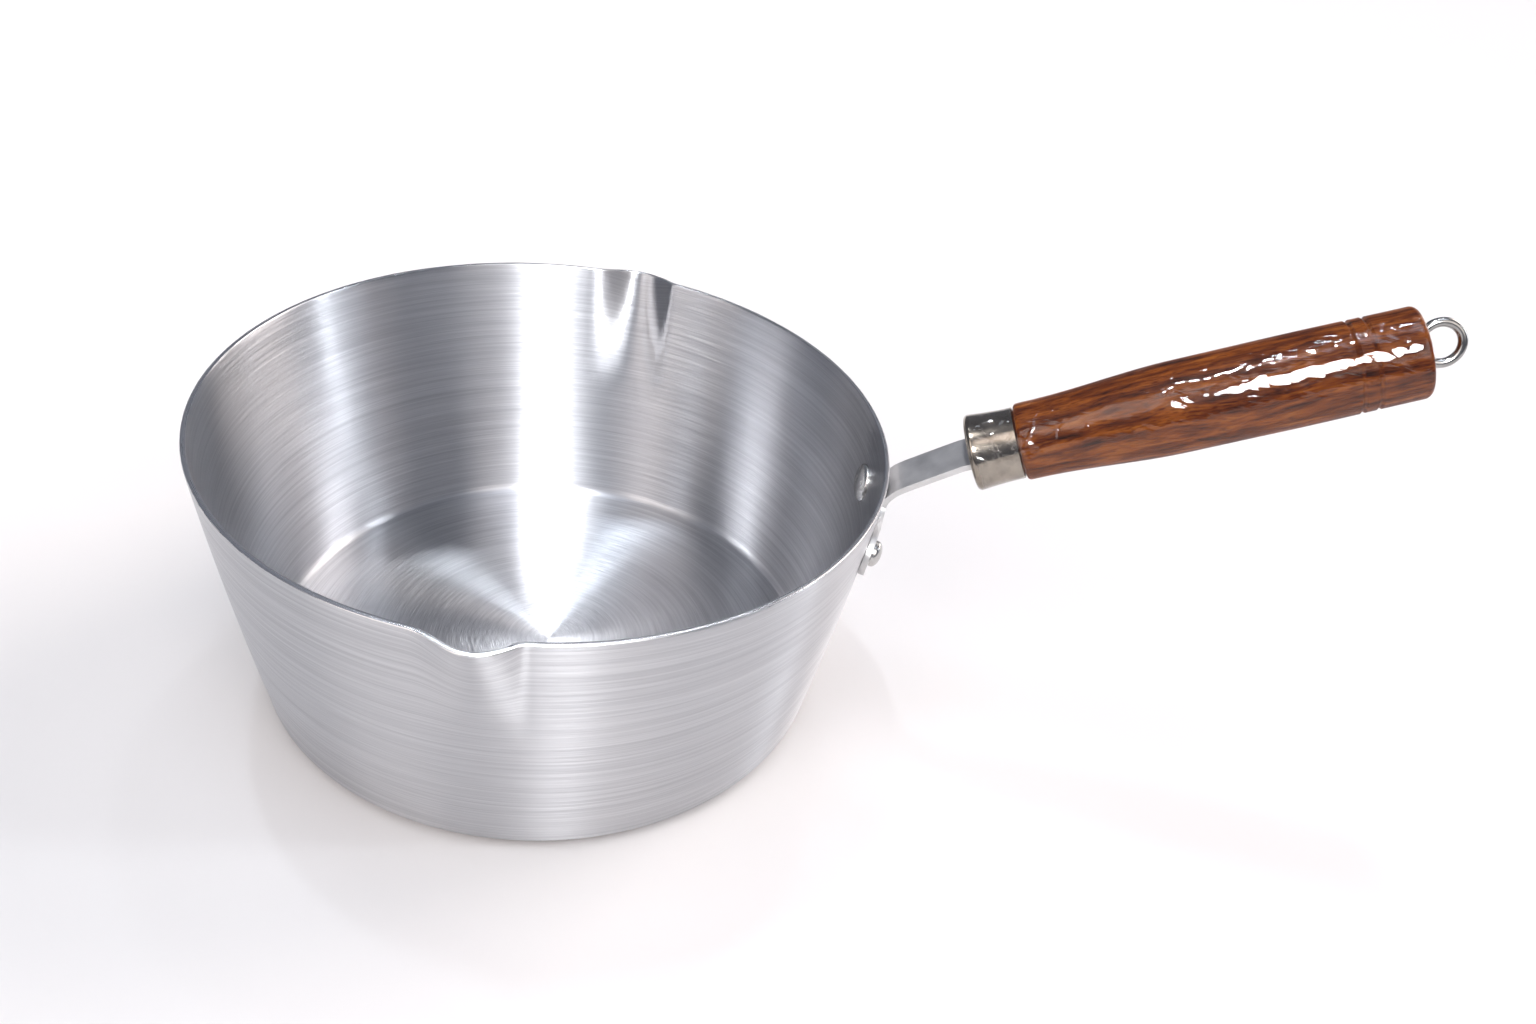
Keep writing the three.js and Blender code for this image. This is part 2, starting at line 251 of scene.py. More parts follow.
# Metal with no direction to its polish: its gloss differs in soft clouds, and fine marks per metre
# of length, width and height lie on it, longer along the handle where it was rolled or drawn
def cloudyMetal(name, colours, roughness, cloud, marks, markDepth):
    finish, tree, shader = startFinish(name, Metallic=1)
    place = addNode(tree, "ShaderNodeTexCoord").outputs["Object"]
    clouds = addNode(tree, "ShaderNodeTexNoise",
                     {"Vector": place, "Scale": 1 / cloud, "Detail": 5, "Roughness": 0.6})
    tint = addNode(tree, "ShaderNodeValToRGB", {0: clouds.outputs[0]})
    setRamp(tint, (0.3, srgb(colours[0])), (0.7, srgb(colours[1])))
    rough = addNode(tree, "ShaderNodeMapRange", {0: clouds.outputs[0], 1: noiseLow, 2: noiseHigh,
                                                 3: roughness[0], 4: roughness[1]})
    turned = addNode(tree, "ShaderNodeMapping", vector_type="POINT",
                     inputs={"Vector": place, "Rotation": (0, handle["tilt"], 0),
                             "Scale": marks})
    lines = addNode(tree, "ShaderNodeTexNoise", {"Vector": turned.outputs[0], "Scale": 1,
                                                 "Detail": 4, "Roughness": 0.6})
    bump = addNode(tree, "ShaderNodeBump", {"Strength": 0.4, "Distance": markDepth,
                                            "Height": lines.outputs[0]})
    feedShader(tree, shader, {"Base Color": tint.outputs[0], "Roughness": rough.outputs[0],
                              "Normal": bump.outputs[0]})
    return finish


# Stained hardwood, turned and thinly varnished: dark streaks about 2 mm apart and pores about
# 0.4 mm apart run along the handle, eight times as long as they are wide. The film over it gives
# the wet gloss, so its own is low.
figure = {
    "streaksPerMetre": (55, 460, 460),
    "poresPerMetre": (330, 2500, 2500),
    "wander": 38 * mm,  # from one sway of the grain to the next
    "sway": 6 * mm,
    "poreDepth": 0.08 * mm,
    "poreShare": 0.8,
    "poreTint": (0.34, 0.26, 0.22, 1),
    "roughness": (0.5, 0.34),
}


def stainedHardwood(name, colours):
    finish, tree, shader = startFinish(name, IOR=1.5, Specular_IOR_Level=0.06)
    place = addNode(tree, "ShaderNodeTexCoord").outputs["Object"]
    lying = addNode(tree, "ShaderNodeMapping", vector_type="POINT",
                    inputs={"Vector": place, "Rotation": (0, handle["tilt"], 0)})
    wander = addNode(tree, "ShaderNodeTexNoise", {"Vector": lying.outputs[0],
                                                  "Scale": 1 / figure["wander"], "Detail": 3})
    bend = addNode(tree, "ShaderNodeVectorMath", {0: wander.outputs["Color"],
                                                  1: (0, figure["sway"], figure["sway"])},
                   operation="MULTIPLY")
    bent = addNode(tree, "ShaderNodeVectorMath", {0: lying.outputs[0], 1: bend.outputs[0]},
                   operation="ADD")
    streaked = addNode(tree, "ShaderNodeMapping", vector_type="POINT",
                       inputs={"Vector": bent.outputs[0], "Scale": figure["streaksPerMetre"]})
    streaks = addNode(tree, "ShaderNodeTexNoise", {"Vector": streaked.outputs[0], "Scale": 1,
                                                   "Detail": 5, "Roughness": 0.62})
    porous = addNode(tree, "ShaderNodeMapping", vector_type="POINT",
                     inputs={"Vector": bent.outputs[0], "Scale": figure["poresPerMetre"]})
    pores = addNode(tree, "ShaderNodeTexNoise", {"Vector": porous.outputs[0], "Scale": 1,
                                                 "Detail": 2, "Roughness": 0.5})
    ground = addNode(tree, "ShaderNodeValToRGB", {0: streaks.outputs[0]})
    setRamp(ground, (0.3, srgb(colours[0])), (0.45, srgb(colours[1])),
            (0.58, srgb(colours[2])), (0.74, srgb(colours[3])))
    pitted = addNode(tree, "ShaderNodeValToRGB", {0: pores.outputs[0]})
    setRamp(pitted, (0.36, figure["poreTint"]), (0.48, (1, 1, 1, 1)))
    wood = addNode(tree, "ShaderNodeMix", data_type="RGBA", blend_type="MULTIPLY",
                   inputs={0: figure["poreShare"], 6: ground.outputs[0], 7: pitted.outputs[0]})
    rough = addNode(tree, "ShaderNodeMapRange",
                    {0: streaks.outputs[0], 1: noiseLow, 2: noiseHigh,
                     3: figure["roughness"][0], 4: figure["roughness"][1]})
    bump = addNode(tree, "ShaderNodeBump", {"Strength": 0.5, "Distance": figure["poreDepth"],
                                            "Height": pores.outputs[0]})
    feedShader(tree, shader, {"Base Color": wood.outputs[2], "Roughness": rough.outputs[0],
                              "Normal": bump.outputs[0]})
    return finish


# Shrink film, a clear polyolefin 0.06 mm thick, blown and shrunk on with hot air: it shows only by
# the lights it mirrors, broken up by creases 3 to 14 mm long
wrapping = {
    "creasesPerMetre": (70, 280, 280),
    "fold": 6.5 * mm,  # from one fold to the next where the film is gathered
    "foldWidth": 0.09,
    "foldHeight": 0.9,
    "gathered": 12 * mm,  # how far the folds run past the start of the wood
    "relief": 0.5 * mm,
    # the share of light it mirrors, the same all over, below real film's few percent so that the
    # wood keeps its colour
    "cover": 0.022,
}


def clearFilm(name):
    finish, tree, shader = startFinish(name, Metallic=1, Base_Color=srgb("#FFFFFF"),
                                       Roughness=0.06, Alpha=wrapping["cover"])
    place = addNode(tree, "ShaderNodeTexCoord").outputs["Object"]
    lying = addNode(tree, "ShaderNodeMapping", vector_type="POINT",
                    inputs={"Vector": place, "Rotation": (0, handle["tilt"], 0),
                            "Scale": wrapping["creasesPerMetre"]})
    creases = addNode(tree, "ShaderNodeTexNoise", noise_type="RIDGED_MULTIFRACTAL", normalize=True,
                      inputs={"Vector": lying.outputs[0], "Scale": 1, "Detail": 3,
                              "Roughness": 0.5, "Distortion": 1.2})
    # sharp folds where it is gathered over the ferrule
    folds = addNode(tree, "ShaderNodeTexVoronoi", feature="DISTANCE_TO_EDGE",
                    inputs={"Vector": place, "Scale": 1 / wrapping["fold"]})
    ridge = addNode(tree, "ShaderNodeMapRange",
                    {0: folds.outputs["Distance"], 1: 0, 2: wrapping["foldWidth"],
                     3: wrapping["foldHeight"], 4: 0})
    far = addNode(tree, "ShaderNodeSeparateXYZ", {0: place})
    woodStart = handle["start"].x
    gathered = addNode(tree, "ShaderNodeMapRange",
                       {0: far.outputs["X"], 1: woodStart, 2: woodStart + wrapping["gathered"],
                        3: 1, 4: 0})
    fold = addNode(tree, "ShaderNodeMath", {0: ridge.outputs[0], 1: gathered.outputs[0]},
                   operation="MULTIPLY")
    relief = addNode(tree, "ShaderNodeMath", {0: creases.outputs[0], 1: fold.outputs[0]},
                     operation="ADD")
    bump = addNode(tree, "ShaderNodeBump", {"Strength": 0.5, "Distance": wrapping["relief"],
                                            "Height": relief.outputs[0]})
    feedShader(tree, shader, {"Normal": bump.outputs[0]})
    return finish


handle = {
    "tilt": math.radians(25.2),
    "start": Vector((135.9, 0, 103.5)) * mm,  # where the wood starts, on the handle's axis
}

brushedAluminium = ringBrushed(
    "brushedAluminium", colours=("#BBBCC0", "#D4D5D8"), roughness=(0.28, 0.32),
    anisotropy=1.0, pitch=0.3 * mm, scratchDepth=0.002 * mm, spread=0.65)
# the cut edge of the same sheet, deburred and buffed
polishedEdge = ringBrushed(
    "polishedEdge", colours=("#CDCDD0", "#DEDEDF"), roughness=(0.24, 0.32),
    anisotropy=0.3, pitch=0.8 * mm, scratchDepth=0.002 * mm, spread=0)
# solid aluminium rivets, set with a polished snap
polishedRivet = cloudyMetal(
    "polishedRivet", colours=("#B4B3B2", "#CFCECC"), roughness=(0.2, 0.3),
    cloud=5 * mm, marks=(600, 600, 600), markDepth=0.01 * mm)
# cold rolled steel strip, tumbled after it was pressed: dull, with fine lines along it
rolledSteel = cloudyMetal(
    "rolledSteel", colours=("#C8C7C7", "#DCDBDB"), roughness=(0.42, 0.52),
    cloud=9 * mm, marks=(160, 2600, 2600), markDepth=0.02 * mm)
# bright nickel plate on pressed steel: warm and nearly a mirror
nickelPlate = cloudyMetal(
    "nickelPlate", colours=("#877F76", "#A89F93"), roughness=(0.1, 0.18),
    cloud=6 * mm, marks=(500, 900, 900), markDepth=0.02 * mm)
# bright drawn steel wire
drawnWire = cloudyMetal(
    "drawnWire", colours=("#92918F", "#B4B3B1"), roughness=(0.16, 0.24),
    cloud=4 * mm, marks=(300, 300, 300), markDepth=0.01 * mm)
turnedWood = stainedHardwood("turnedWood", ("#311304", "#682F0A", "#8E4A14", "#AD6726"))
shrinkFilm = clearFilm("shrinkFilm")
print("finishes mixed")


pan = {
    "rimRadius": -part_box("pan_body")[0].x,
    "height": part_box("pan_body")[1].z,
    "footRadius": 86.8 * mm,
    "wallSwell": 0.8 * mm,
    "thickness": 1.6 * mm,
    "corner": 5 * mm,
    "cornerSteps": 8,
    "wallStart": 6.5 * mm,
    "rimRise": 0.25 * mm,
    "rimBevel": 0.45 * mm,
    "steps": 432,
    "wallRows": 26,
    "floorRings": [20 * mm, 45 * mm, 66 * mm, 80 * mm],
}
# turn and the two sides are in degrees round the rim; a higher power makes a flatter lip
spouts = [
    {"name": "front", "turn": -89.5, "reach": -4.7 * mm, "dip": 0.9 * mm, "softSide": 9.6,
     "sharpSide": 6.6, "power": 1.7, "depth": 40 * mm, "toHandle": 1},
    {"name": "rear", "turn": 84.5, "reach": 4.7 * mm, "dip": 0.9 * mm, "softSide": 9.0,
     "sharpSide": 7.4, "power": 2.0, "depth": 46 * mm, "toHandle": -1},
]
spoutFade = 1.3  # how quickly a spout dies away down the wall


def wallRadius(height):
    t = height / pan["height"]
    straight = pan["footRadius"] + (pan["rimRadius"] - pan["footRadius"]) * t
    return straight + 4 * pan["wallSwell"] * t * (1 - t)


def wallLean(height):
    return math.atan((wallRadius(height + 0.5 * mm) - wallRadius(height - 0.5 * mm)) / mm)


def spoutShare(spot, spout):
    # 1 at the middle of the lip: a soft flank on one side, a creased one on the other
    offset = math.degrees(math.atan2(spot.y, spot.x)) - spout["turn"]
    offset = ((offset + 180) % 360 - 180) * spout["toHandle"]
    down = (pan["height"] - spot.z) / spout["depth"]
    if down >= 1:
        return 0
    if offset < 0:
        across = 0.5 + 0.5 * math.cos(math.pi * min(-offset / spout["softSide"], 1))
    else:
        across = 1 - min(offset / spout["sharpSide"], 1) ** spout["power"]
    return across * (1 - max(down, 0)) ** spoutFade


def makeBowl():
    corner = pan["corner"]
    lean = math.degrees(wallLean(corner))
    top = pan["height"] - pan["rimRise"]
    low = pan["wallStart"]
    rows = [low + (top - low) * i / pan["wallRows"] for i in range(pan["wallRows"] + 1)]
    outline = [(0, 0)] + [(ring, 0) for ring in pan["floorRings"]]
    outline += arc((wallRadius(corner) - corner, corner), corner, -90, -lean,
                   pan["cornerSteps"])
    outline += [(wallRadius(row), row) for row in rows]
    bowl = turnShape("bowl", outline, pan["steps"])
    giveFinish(bowl, brushedAluminium, polishedEdge)

    for spout in spouts:
        group = bowl.vertex_groups.new(name=spout["name"])
        for vertex in bowl.data.vertices:
            share = spoutShare(vertex.co, spout)
            if share > 0:
                group.add([vertex.index], share, "REPLACE")
    for spout in spouts:
        addModifier(bowl, "DISPLACE", direction="Y", mid_level=0,
                    vertex_group=spout["name"], strength=spout["reach"])
        addModifier(bowl, "DISPLACE", direction="Z", mid_level=0,
                    vertex_group=spout["name"], strength=-spout["dip"])
    for group in list(bowl.vertex_groups):
        bowl.vertex_groups.remove(group)

    addModifier(bowl, "SOLIDIFY", thickness=pan["thickness"], offset=-1,
                use_even_offset=True, material_offset_rim=1)
    return bowl


def bevelRim(bowl):
    # the two edges of the cut rim are the ones between a rim face and a wall face
    sides = {}
    for face in bowl.data.polygons:
        for key in face.edge_keys:
            sides.setdefault(key, set()).add(face.material_index)
    pickEdges(bowl, lambda edge: len(sides[edge.key]) == 2)
    bpy.ops.mesh.bevel(offset=pan["rimBevel"], segments=3, profile=0.5)
    bpy.ops.object.mode_set(mode="OBJECT")


bowl = makeBowl()
bevelRim(bowl)
settle(bowl, Matrix.Identity(4))
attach(bowl, "root")
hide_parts("pan_body")
print("bowl done,", len(bowl.data.polygons), "faces")


rivet = {
    "height": 69.5 * mm,
    "turn": 10.5,
    "shank": 2.3 * mm,
    "innerHead": 6 * mm,
    "innerDome": 2.1 * mm,
    "outerHead": 4 * mm,
    "outerDome": 2.7 * mm,
    "innerEdge": 0.35 * mm,
    "outerEdge": 0.6 * mm,
    "domeSteps": 9,
    "seat": 0.1 * mm,
    "steps": 64,
}
bracket = {
    "thickness": 1.8 * mm,
    "width": 14.6 * mm,
    "gap": 0.15 * mm,
    "ear": 7 * mm,
    "shoulder": 79.5 * mm,
    "arch": 4 * mm,
    "edge": 0.35 * mm,
    "sharpest": 50,  # corners of more degrees than this get the rounded edge
    "grid": 1.5 * mm,
    "earSteps": 20,
    "curveSteps": 8,
    # the strap leaves the wall over the ears, then climbs to the handle's axis, as (x, z) in mm
    "leaves": (82 * mm, 0.2 * mm, 81.2 * mm),
    "climbs": [(102.8, 84.2), (105.9, 86.5), (113.5, 91.6), (120.6, 96.3)],
    "ends": [-9.8 * mm, -1 * mm],
    "bend": 1.6 * mm,
    "bendSteps": 4,
}


def dome(radius, rise, edge, base, direction):
    # from the rim of a rivet head to its top, as (radius, height)
    turns = [math.radians(90 * i / rivet["domeSteps"]) for i in range(rivet["domeSteps"] + 1)]
    return [(radius * math.cos(t), base + direction * (edge + (rise - edge) * math.sin(t)))
            for t in turns]


def makeRivet(name, side, node):
    inside = -pan["thickness"] - rivet["seat"]
    outside = bracket["gap"] + bracket["thickness"] + rivet["seat"]
    innerDome = dome(rivet["innerHead"], rivet["innerDome"], rivet["innerEdge"], inside, -1)
    outerDome = dome(rivet["outerHead"], rivet["outerDome"], rivet["outerEdge"], outside, 1)
    innerDome[-1] = (0, innerDome[-1][1])
    outerDome[-1] = (0, outerDome[-1][1])
    outline = innerDome[::-1] + [(rivet["innerHead"], inside), (rivet["shank"], inside)]
    outline += [(rivet["shank"], outside), (rivet["outerHead"], outside)] + outerDome
    shape = turnShape(name, outline, rivet["steps"])
    giveFinish(shape, polishedRivet)
    spot = Matrix.Translation((wallRadius(rivet["height"]), 0, rivet["height"]))
    outwards = Matrix.Rotation(math.pi / 2 + wallLean(rivet["height"]), 4, "Y")
    around = Matrix.Rotation(math.radians(side * rivet["turn"]), 4, "Z")
    settle(shape, around @ spot @ outwards)
    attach(shape, "root")
    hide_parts(node)


makeRivet("rivetRight", 1, "rivet_right")
makeRivet("rivetLeft", -1, "rivet_left")
print("rivets done")


def onHandle(along, above=0):
    tilt = handle["tilt"]
    return handle["start"] + Vector((along * math.cos(tilt) - above * math.sin(tilt), 0,
                                     along * math.sin(tilt) + above * math.cos(tilt)))


def roundedPath(spots, cut, steps):
    # each inner corner of a path becomes a short curve that starts and ends cut away from it
    path = [spots[0]]
    for before, corner, after in zip(spots, spots[1:], spots[2:]):
        back, on = before - corner, after - corner
        start = corner + back.normalized() * min(cut, back.length / 2.2)
        end = corner + on.normalized() * min(cut, on.length / 2.2)
        for i in range(steps + 1):
            t = i / steps
            path.append(start * (1 - t) ** 2 + corner * 2 * t * (1 - t) + end * t * t)
    return path + [spots[-1]]


def footOutline():
    # two ears beside the strap, seen from outside, from one shoulder round to the other
    half = bracket["width"] / 2
    out = wallRadius(rivet["height"]) * math.sin(math.radians(rivet["turn"]))
    ear, high = bracket["ear"], rivet["height"]

    arch = high - ear + bracket["arch"] / 2

    def curve(start, pull, end):
        shares = [i / bracket["curveSteps"] for i in range(bracket["curveSteps"] + 1)]
        return [tuple(start[k] * (1 - t) ** 2 + pull[k] * 2 * t * (1 - t) + end[k] * t * t
                      for k in (0, 1)) for t in shares]

    right = curve((0, arch), (out / 2, arch), (out, high - ear))
    right += arc((out, high), ear, -90, 90, bracket["earSteps"])[1:]
    right += curve((out, high + ear), (half, high + ear), (half, bracket["shoulder"]))[1:]
    left = [(-y, z) for y, z in reversed(right)][:-1]
    return [Vector((0, y, z)) for y, z in left + right]


def makeBracket():
    outline = footOutline()
    shape = startDrawing("strapBracket", outline[0])
    extrudeAlong(outline)
    bpy.ops.mesh.select_all(action="SELECT")
    bpy.ops.mesh.edge_face_add()
    half = max(spot.y for spot in outline)
    low = min(spot.z for spot in outline)
    cuts = [((0, -half + bracket["grid"] * i, 0), (0, 1, 0))
            for i in range(1, int(2 * half / bracket["grid"]) + 1)]
    cuts += [((0, 0, low + bracket["grid"] * i), (0, 0, 1))
             for i in range(1, int((bracket["shoulder"] - low) / bracket["grid"]) + 1)]
    for spot, normal in cuts:
        bpy.ops.mesh.select_all(action="SELECT")
        bpy.ops.mesh.bisect(plane_co=spot, plane_no=normal)
    bpy.ops.mesh.select_all(action="SELECT")
    bpy.ops.mesh.remove_doubles(threshold=10 * seam)
    # the flat foot starts well outside the bowl and is pressed on to its wall
    bpy.ops.transform.translate(value=(pan["rimRadius"] * 1.4, 0, 0))
    bpy.ops.object.mode_set(mode="OBJECT")
    middle = bracket["gap"] + bracket["thickness"] / 2
    addModifier(shape, "SHRINKWRAP", target=bowl, wrap_method="PROJECT", use_project_x=True,
                use_negative_direction=True, use_positive_direction=False,
                wrap_mode="ABOVE_SURFACE", offset=middle)

    # pressing it on leaned its top edge in and so a little down
    top = bracket["shoulder"] - 0.4 * mm
    pickEdges(shape, lambda edge: all(shape.data.vertices[i].co.z > top for i in edge.vertices))
    beside, away, above = bracket["leaves"]
    spots = [Vector((wallRadius(bracket["shoulder"]) + middle, 0, bracket["shoulder"])),
             Vector((wallRadius(beside) + middle + away, 0, above))]
    spots += [Vector((x, 0, z)) * mm for x, z in bracket["climbs"]]
    spots += [onHandle(along) for along in bracket["ends"]]
    extrudeAlong(roundedPath(spots, bracket["bend"], bracket["bendSteps"]))
    bpy.ops.mesh.select_all(action="SELECT")
    bpy.ops.mesh.normals_make_consistent(inside=False)
    bpy.ops.object.mode_set(mode="OBJECT")
    if sum(face.normal.x for face in shape.data.polygons) < 0:  # it faces the bowl
        bpy.ops.object.mode_set(mode="EDIT")
        bpy.ops.mesh.select_all(action="SELECT")
        bpy.ops.mesh.flip_normals()
        bpy.ops.object.mode_set(mode="OBJECT")
    giveFinish(shape, rolledSteel)
    addModifier(shape, "SOLIDIFY", thickness=bracket["thickness"], offset=0,
                use_even_offset=True)
    addModifier(shape, "BEVEL", width=bracket["edge"], segments=3, limit_method="ANGLE",
                angle_limit=math.radians(bracket["sharpest"]))
    return shape


strap = makeBracket()
settle(strap, Matrix.Identity(4))
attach(strap, "root")
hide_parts("handle_bracket")
print("bracket done,", len(strap.data.polygons), "faces")


ferrule = {
    "length": 14.8 * mm,
    "front": 11.5 * mm,
    "back": 10.6 * mm,
    "wall": 0.8 * mm,
    "round": 1.6 * mm,
    "roundSteps": 8,
    "rim": 0.25 * mm,  # the small chamfer at its back end
    "gap": 0.3 * mm,
    "flat": 4 * mm,
    "rows": 12,
    "steps": 96,
}
grip = {
    "length": 113 * mm,
    "start": 11.4 * mm,
    "middle": 13.4 * mm,
    "end": 13 * mm,
    "swells": (5 * mm, 46 * mm),  # from the start to the middle radius
    "tapers": (76 * mm, 113 * mm),  # from the middle to the end radius
    "spigot": 9 * mm,
    "spigotEdge": 1 * mm,
    "startRound": 1.3 * mm,
    "startSteps": 6,
    "endRound": 2 * mm,
    "endSteps": 8,
    "grooveDepth": 0.6 * mm,
    "grooveHalf": 0.8 * mm,
    "grooveSides": 1.4,  # below 2 the bottom is sharp, above it round
    "groovesFromEnd": [18.7 * mm, 14.2 * mm],
    "step": 2 * mm,
    "steps": 128,
}
lean = Matrix.Rotation(math.pi / 2 - handle["tilt"], 4, "Y")
onto = Matrix.Translation(handle["start"]) @ lean  # lays what is turned round Z on the handle


def ferruleRadius(along):
    t = -along / ferrule["length"]
    return ferrule["back"] + (ferrule["front"] - ferrule["back"]) * t * t


def gripRadius(along):
    swell = smoothSteps(along, *grip["swells"])
    taper = smoothSteps(along, *grip["tapers"])
    middle = grip["start"] + (grip["middle"] - grip["start"]) * swell
    return middle - (grip["middle"] - grip["end"]) * taper


def grooved(along):
    # the turned wood with its two V grooves
    depth = 0
    for fromEnd in grip["groovesFromEnd"]:
        offset = abs(along - (grip["length"] - fromEnd)) / grip["grooveHalf"]
        depth = max(depth, grip["grooveDepth"] * (1 - min(offset, 1) ** grip["grooveSides"]))
    return gripRadius(along) - depth


def makeFerrule():
    front, wall, rim = -ferrule["length"], ferrule["wall"], ferrule["rim"]
    curl, gap, back = ferrule["round"], ferrule["gap"], ferrule["back"]
    straight = ferrule["length"] - curl - 0.6 * mm
    rows = [-gap - rim - straight * i / ferrule["rows"] for i in range(ferrule["rows"] + 1)]
    outline = [(back - wall, -gap), (back - rim, -gap)]
    outline += [(ferruleRadius(row), row) for row in rows]
    outline += arc((ferruleRadius(front) - curl - 0.1 * mm, front + curl), curl, -10, -90,
                   ferrule["roundSteps"])
    outline += [(ferrule["flat"], front), (0, front)]
    # back again along the inside
    outline += [(0, front + wall), (back - wall - curl / 2, front + wall),
                (back - wall, front + curl)]
    outline += [outline[0]]
    return turnShape("ferrule", outline, ferrule["steps"])


cap = makeFerrule()
giveFinish(cap, nickelPlate)
settle(cap, onto, 35)
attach(cap, "root")
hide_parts("ferrule")
print("ferrule done")


def makeGrip():
    length, curl, corner = grip["length"], grip["endRound"], grip["startRound"]
    bore = ferrule["back"] - ferrule["wall"] - ferrule["gap"]
    spigot, edge = grip["spigot"], grip["spigotEdge"]
    outline = [(0, -spigot), (bore - edge, -spigot), (bore, edge - spigot), (bore, 0)]
    outline += arc((grip["start"] - corner, corner), corner, -90, -8, grip["startSteps"])
    first, step = 2 * mm, grip["step"]
    rows = [first + step * i for i in range(int((length - curl - first) / step))]
    for fromEnd in grip["groovesFromEnd"]:
        # the rows near a groove give way to closer ones
        centre = length - fromEnd
        rows = [row for row in rows if abs(row - centre) > 1.4 * grip["grooveHalf"]]
        rows += [centre + grip["grooveHalf"] * i / 3 for i in range(-4, 5)]
    outline += [(grooved(row), row) for row in sorted(rows)]
    outline += arc((grip["end"] - curl, length - curl), curl, 0, 90, grip["endSteps"])
    outline += [(grip["end"] / 2, length), (0, length)]
    return turnShape("grip", outline, grip["steps"])


wood = makeGrip()
giveFinish(wood, turnedWood)
settle(wood, onto, 40)
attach(wood, "root")
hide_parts("grip")
print("grip done,", len(wood.data.polygons), "faces")


eye = {
    "wire": 1.35 * mm,
    "ring": 5.68 * mm,
    "out": 4.8 * mm,
    "rise": 1.5 * mm,
    "turn": math.radians(-20),
    "from": 205,
    "sweep": 302,
    "points": 72,
    # the shank up to where the ring starts, as how far to the side and how far inside the wood
    "shank": [(0, 20 * mm), (0, 8 * mm), (0, 4.5 * mm), (0.6 * mm, 2.4 * mm)],
}


def makeEye():
    # wire bent to a ring, with its shank in the wood
    length = grip["length"]
    middle = length + eye["out"]
    spots = [Vector((-aside, 0, length - inside)) for aside, inside in eye["shank"]]
    for i in range(eye["points"] + 1):
        turn = math.radians(eye["from"] + eye["sweep"] * i / eye["points"])
        spots.append(Vector((eye["ring"] * math.sin(turn), 0,
                             middle + eye["ring"] * math.cos(turn))))
    bpy.ops.object.select_all(action="DESELECT")
    bpy.ops.curve.primitive_nurbs_path_add(location=(0, 0, 0))
    shape = bpy.context.object
    shape.name = "hangingEye"
    line = shape.data
    line.splines.clear()
    spline = line.splines.new("POLY")
    spline.points.add(len(spots) - 1)
    for point, spot in zip(spline.points, spots):
        point.co = (*spot, 1)
    line.dimensions = "3D"
    line.twist_mode = "MINIMUM"
    line.bevel_depth = eye["wire"]
    line.bevel_resolution = 6
    line.use_fill_caps = True
    bpy.ops.object.convert(target="MESH")
    shape = bpy.context.object
    bpy.ops.object.mode_set(mode="EDIT")
    bpy.ops.mesh.select_all(action="SELECT")
    bpy.ops.mesh.remove_doubles(threshold=seam)
    bpy.ops.mesh.normals_make_consistent(inside=False)
    bpy.ops.object.mode_set(mode="OBJECT")
    shape.data.name = "hangingEye"
    return shape


ring = makeEye()
giveFinish(ring, drawnWire)
raised = Matrix.Translation((-eye["rise"], 0, 0))
settle(ring, onto @ raised @ Matrix.Rotation(eye["turn"], 4, "Z"))
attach(ring, "root")
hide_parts("hanging_eye")
print("hanging eye done")


film = {
    "away": 0.38 * mm,
    "thickness": 0.06 * mm,
    "start": 2 * mm,  # behind the ferrule's front
    "bridges": (-3 * mm, 1.5 * mm),  # where it steps from the ferrule up to the wood
    "fold": 1.4 * mm,  # how far it is folded in over the grip's end
    "foldSteps": 6,
    "crease": 0.3 * mm,
    "creaseSize": 7 * mm,
    "step": 0.8 * mm,
    "steps": 160,
}


def makeFilm():
    away, length, curl = film["away"], grip["length"], grip["endRound"]
    first = film["start"] - ferrule["length"]
    count = int((length - curl - first) / film["step"])
    outline = []
    for row in [first + film["step"] * i for i in range(count)]:
        share = smoothSteps(row, *film["bridges"])
        under = ferruleRadius(min(row, 0)) * (1 - share) + gripRadius(row) * share
        outline.append((under + away, row))
    outline += arc((grip["end"] - curl, length - curl), curl + away, 0, 90, film["foldSteps"])
    outline += [(grip["end"] - curl - film["fold"], length + away)]
    sleeve = turnShape("shrinkFilm", outline, film["steps"])
    creases = bpy.data.textures.new("filmCreases", "CLOUDS")
    creases.noise_scale = film["creaseSize"]
    creases.noise_depth = 2
    addModifier(sleeve, "DISPLACE", texture=creases, texture_coords="LOCAL", mid_level=0.5,
                strength=film["crease"])
    addModifier(sleeve, "SOLIDIFY", thickness=film["thickness"], offset=1)
    return sleeve


sleeve = makeFilm()
giveFinish(sleeve, shrinkFilm)
settle(sleeve, onto, 60)
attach(sleeve, "root")
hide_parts("shrink_film")
print("film done,", len(sleeve.data.polygons), "faces")


studio = {
    "floor": 12,
    "sky": "#6A6D76",
    "skyStrength": 1.28,
}
# the large round lamps light the paper without showing in the metal; the small ones only glint
lamps = [
    {"name": "key", "spot": (-1.2, 1.4, 2.6), "aim": (0, 0, 0), "size": 1.2,
     "watts": 7.2, "shows": False},
    {"name": "fill", "spot": (-0.3, -0.4, 2.0), "aim": (-0.05, -0.1, 0), "size": 3.2,
     "watts": 11.2, "shows": False},
    {"name": "frontGlint", "spot": (0.13, -0.433, 0.54), "aim": (0.2, 0, 0.14), "size": 0.18,
     "watts": 3.6, "shows": True},
    {"name": "topGlint", "spot": (-0.03, -0.04, 0.8), "aim": (0.2, 0, 0.14), "size": 0.07,
     "watts": 3, "shows": True},
]
